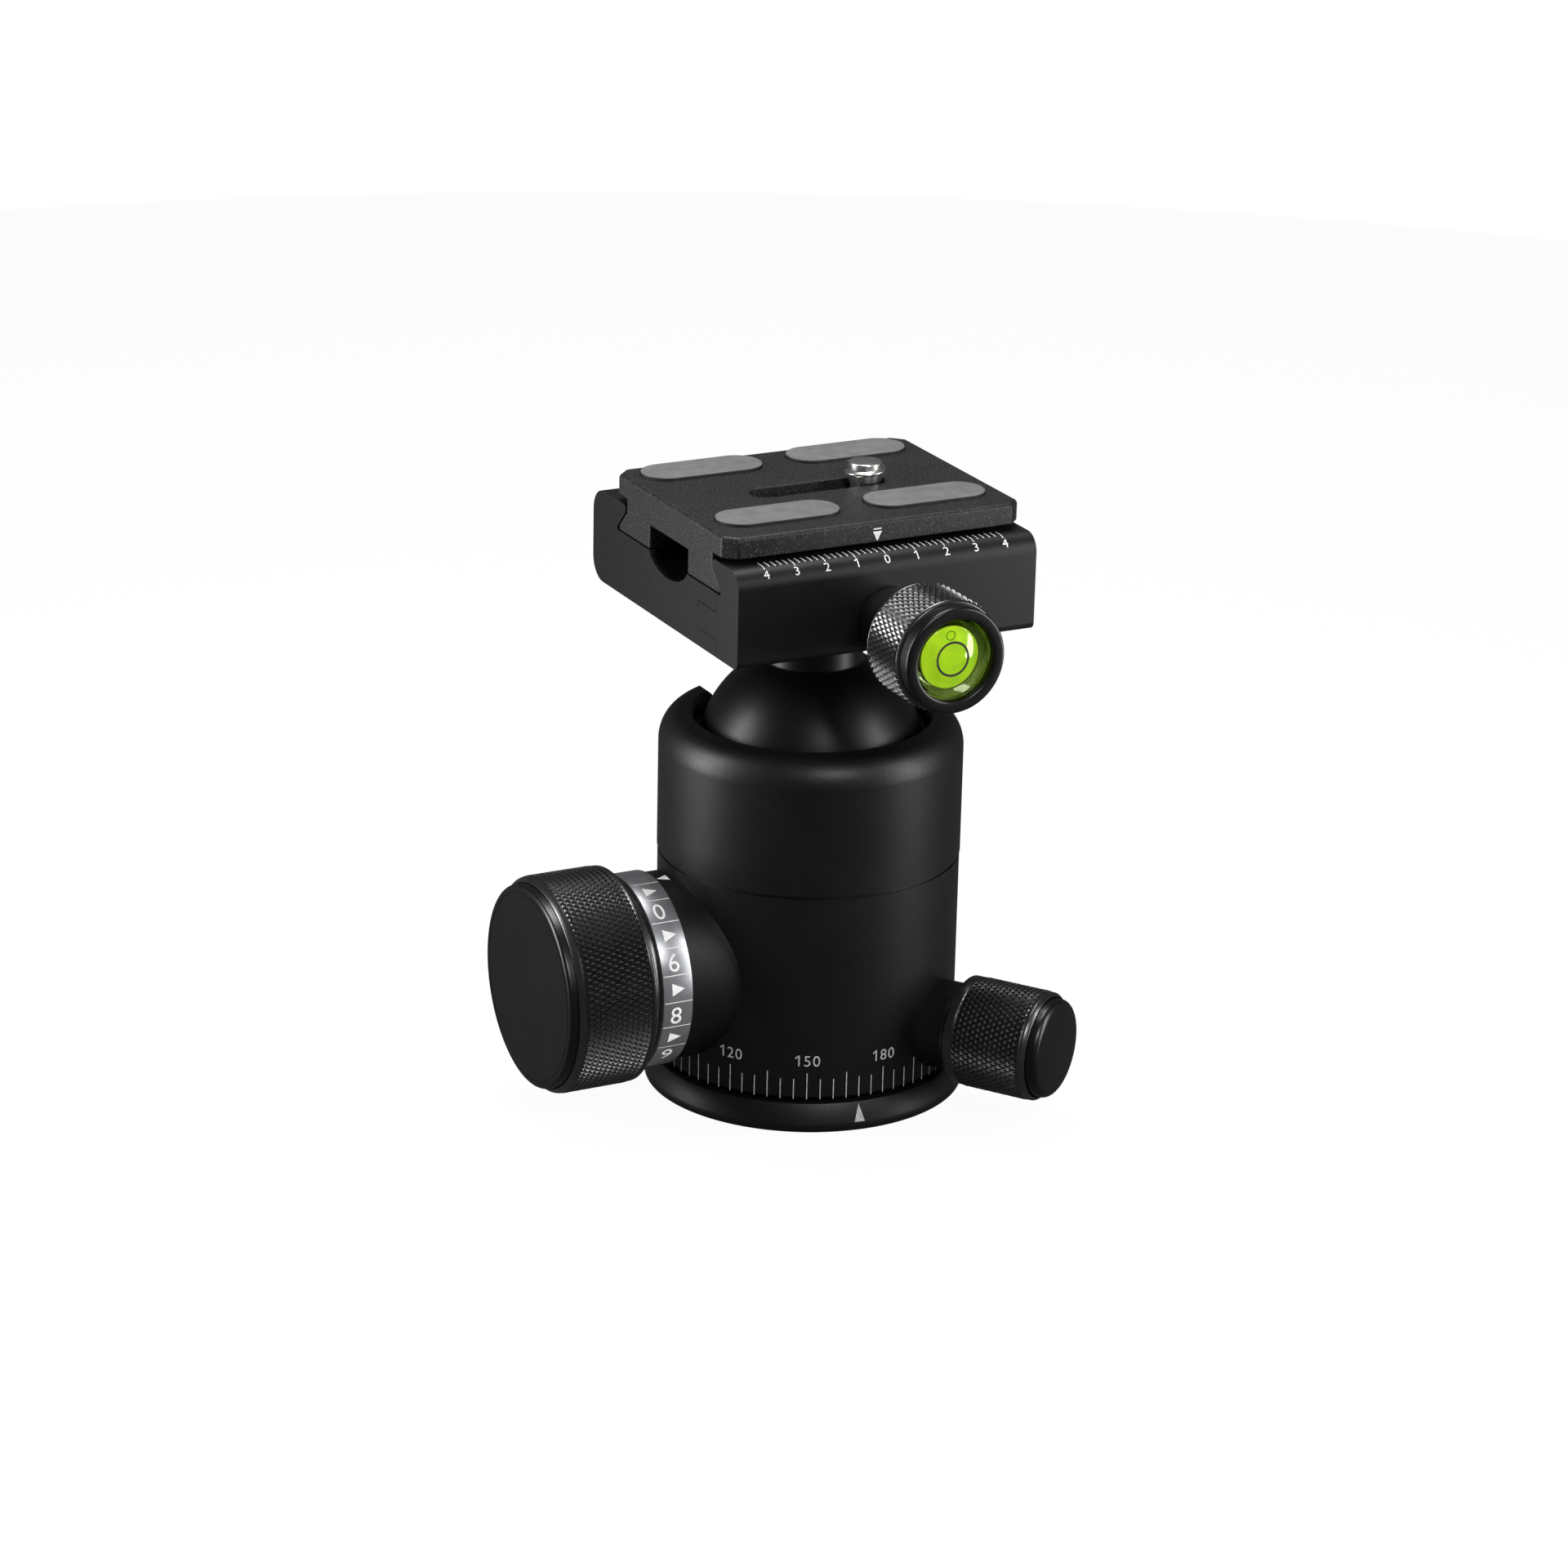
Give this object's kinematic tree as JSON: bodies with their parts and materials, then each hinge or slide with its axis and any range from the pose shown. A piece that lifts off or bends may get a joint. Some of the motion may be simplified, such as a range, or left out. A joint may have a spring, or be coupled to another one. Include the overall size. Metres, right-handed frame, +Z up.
{
  "type": "tripod ball head",
  "caption": "Tripod ball head with a panning base, a locking ball in a notched socket, and a screw-tightened dovetail clamp with a camera plate.",
  "frame": {"origin": "mouth of the tripod thread, in the middle of the base's underside", "axes": "+Z up along the pan axis, +Y toward the drop notch, -X along the ball lock knob, clamp knob toward -Y"},
  "size_m": [0.0787, 0.0716, 0.0991],
  "materials": {
    "black_anodised": "satin black, bead blasted and anodised",
    "ball_anodised": "black anodised, finely turned",
    "ring_anodised": "grey anodised, satin",
    "plain_aluminium": "machined",
    "steel": "turned stainless steel",
    "bearing_plastic": "low-friction plastic",
    "grey_rubber": "matt",
    "clear_acrylic": "clear, polished",
    "green_fluid": "yellow-green liquid",
    "white_plastic": "matt"
  },
  "bodies": {
    "base": {"pan_base": "black_anodised", "tripod_bushing": "steel", "pan_retaining_ring": "plain_aluminium", "pan_ring_screws": "steel", "pan_glide_ring": "bearing_plastic"},
    "housing": {"lower_housing": "black_anodised", "upper_housing": "black_anodised", "socket_collar": "bearing_plastic"},
    "cup": {"brake_cup": "plain_aluminium"},
    "near_wedge": {"lock_wedge_near": "plain_aluminium"},
    "far_wedge": {"lock_wedge_far": "plain_aluminium"},
    "shoe": {"pan_brake_shoe": "bearing_plastic"},
    "lock_knob": {"lock_knob_grip": "black_anodised", "lock_knob_cap": "black_anodised", "lock_spindle": "steel"},
    "scale_ring": {"friction_scale_ring": "ring_anodised"},
    "pan_knob": {"pan_knob_grip": "black_anodised", "pan_knob_cap": "black_anodised", "pan_lock_screw": "steel"},
    "liner": {"friction_liner": "bearing_plastic"},
    "ball": {"ball_stem": "ball_anodised"},
    "clamp": {"clamp_body": "black_anodised", "stem_screw": "steel", "jaw_springs": "steel"},
    "jaw": {"clamp_jaw": "black_anodised", "jaw_guide_pins": "steel"},
    "clamp_knob": {"clamp_knob_grip": "black_anodised", "clamp_screw": "steel", "level_bezel": "black_anodised", "level_vial": "clear_acrylic", "level_fluid": "green_fluid", "level_backing": "white_plastic"},
    "plate": {"quick_release_plate": "black_anodised", "rubber_pads": "grey_rubber"},
    "screw_carrier": {"screw_washer": "steel"},
    "camera_screw": {"camera_screw": "steel", "screw_pull_ring": "steel"}
  },
  "joints": [
    {"name": "pan_turn", "type": "hinge", "parent": "base", "child": "housing", "pos_m": [0, 0, 0], "axis": [0, 0, 1], "continuous": true},
    {"name": "lock_knob_turn", "type": "hinge", "parent": "housing", "child": "lock_knob", "pos_m": [0, 0, 0.0218], "axis": [-1, 0, 0], "range_deg": [0, 240]},
    {"name": "near_wedge_slide", "type": "slide", "parent": "housing", "child": "near_wedge", "axis": [-1, 0, 0], "range_m": [0, 0.00054]},
    {"name": "far_wedge_slide", "type": "slide", "parent": "housing", "child": "far_wedge", "axis": [1, 0, 0], "range_m": [0, 0.00054]},
    {"name": "brake_cup_drop", "type": "slide", "parent": "housing", "child": "cup", "axis": [0, 0, -1], "range_m": [0, 0.00027]},
    {"name": "friction_ring_turn", "type": "hinge", "parent": "housing", "child": "scale_ring", "pos_m": [0, 0, 0.0218], "axis": [-1, 0, 0], "range_deg": [-120, 120]},
    {"name": "pan_knob_turn", "type": "hinge", "parent": "housing", "child": "pan_knob", "pos_m": [0, 0, 0.013], "axis": [0.5678, -0.8231, 0], "range_deg": [0, 270]},
    {"name": "pan_shoe_slide", "type": "slide", "parent": "housing", "child": "shoe", "axis": [0.5678, -0.8231, 0], "range_m": [0, 0.00031]},
    {"name": "tilt_side", "type": "hinge", "parent": "housing", "child": "liner", "pos_m": [0, 0, 0.0528], "axis": [0, 1, 0], "range_deg": [-34, 34]},
    {"name": "tilt_notch", "type": "hinge", "parent": "liner", "child": "ball", "pos_m": [0, 0, 0.0528], "axis": [1, 0, 0], "range_deg": [-90, 34]},
    {"name": "ball_spin", "type": "hinge", "parent": "ball", "child": "clamp", "pos_m": [0, 0, 0.0528], "axis": [0, 0, 1], "continuous": true},
    {"name": "jaw_slide", "type": "slide", "parent": "clamp", "child": "jaw", "axis": [0, -1, 0], "range_m": [0, 0.0025]},
    {"name": "clamp_knob_turn", "type": "hinge", "parent": "jaw", "child": "clamp_knob", "pos_m": [0, 0, 0.0819], "axis": [0, -1, 0], "range_deg": [0, 902]},
    {"name": "plate_slide", "type": "slide", "parent": "clamp", "child": "plate", "axis": [1, 0, 0], "range_m": [-0.015, 0.015]},
    {"name": "camera_screw_slide", "type": "slide", "parent": "plate", "child": "screw_carrier", "axis": [1, 0, 0], "range_m": [-0.0168, 0.0004]},
    {"name": "camera_screw_turn", "type": "hinge", "parent": "screw_carrier", "child": "camera_screw", "pos_m": [0.0082, 0, 0.09], "axis": [0, 0, 1], "continuous": true}
  ],
  "couplings": [
    {"joint": "near_wedge_slide", "follows": "lock_knob_turn", "m_per_rad": 0.00012732},
    {"joint": "far_wedge_slide", "follows": "lock_knob_turn", "m_per_rad": 0.00012732},
    {"joint": "brake_cup_drop", "follows": "lock_knob_turn", "m_per_rad": 0.000063662},
    {"joint": "pan_shoe_slide", "follows": "pan_knob_turn", "m_per_rad": 0.000063662},
    {"joint": "clamp_knob_turn", "follows": "jaw_slide", "rad_per_m": 6283.2}
  ]
}
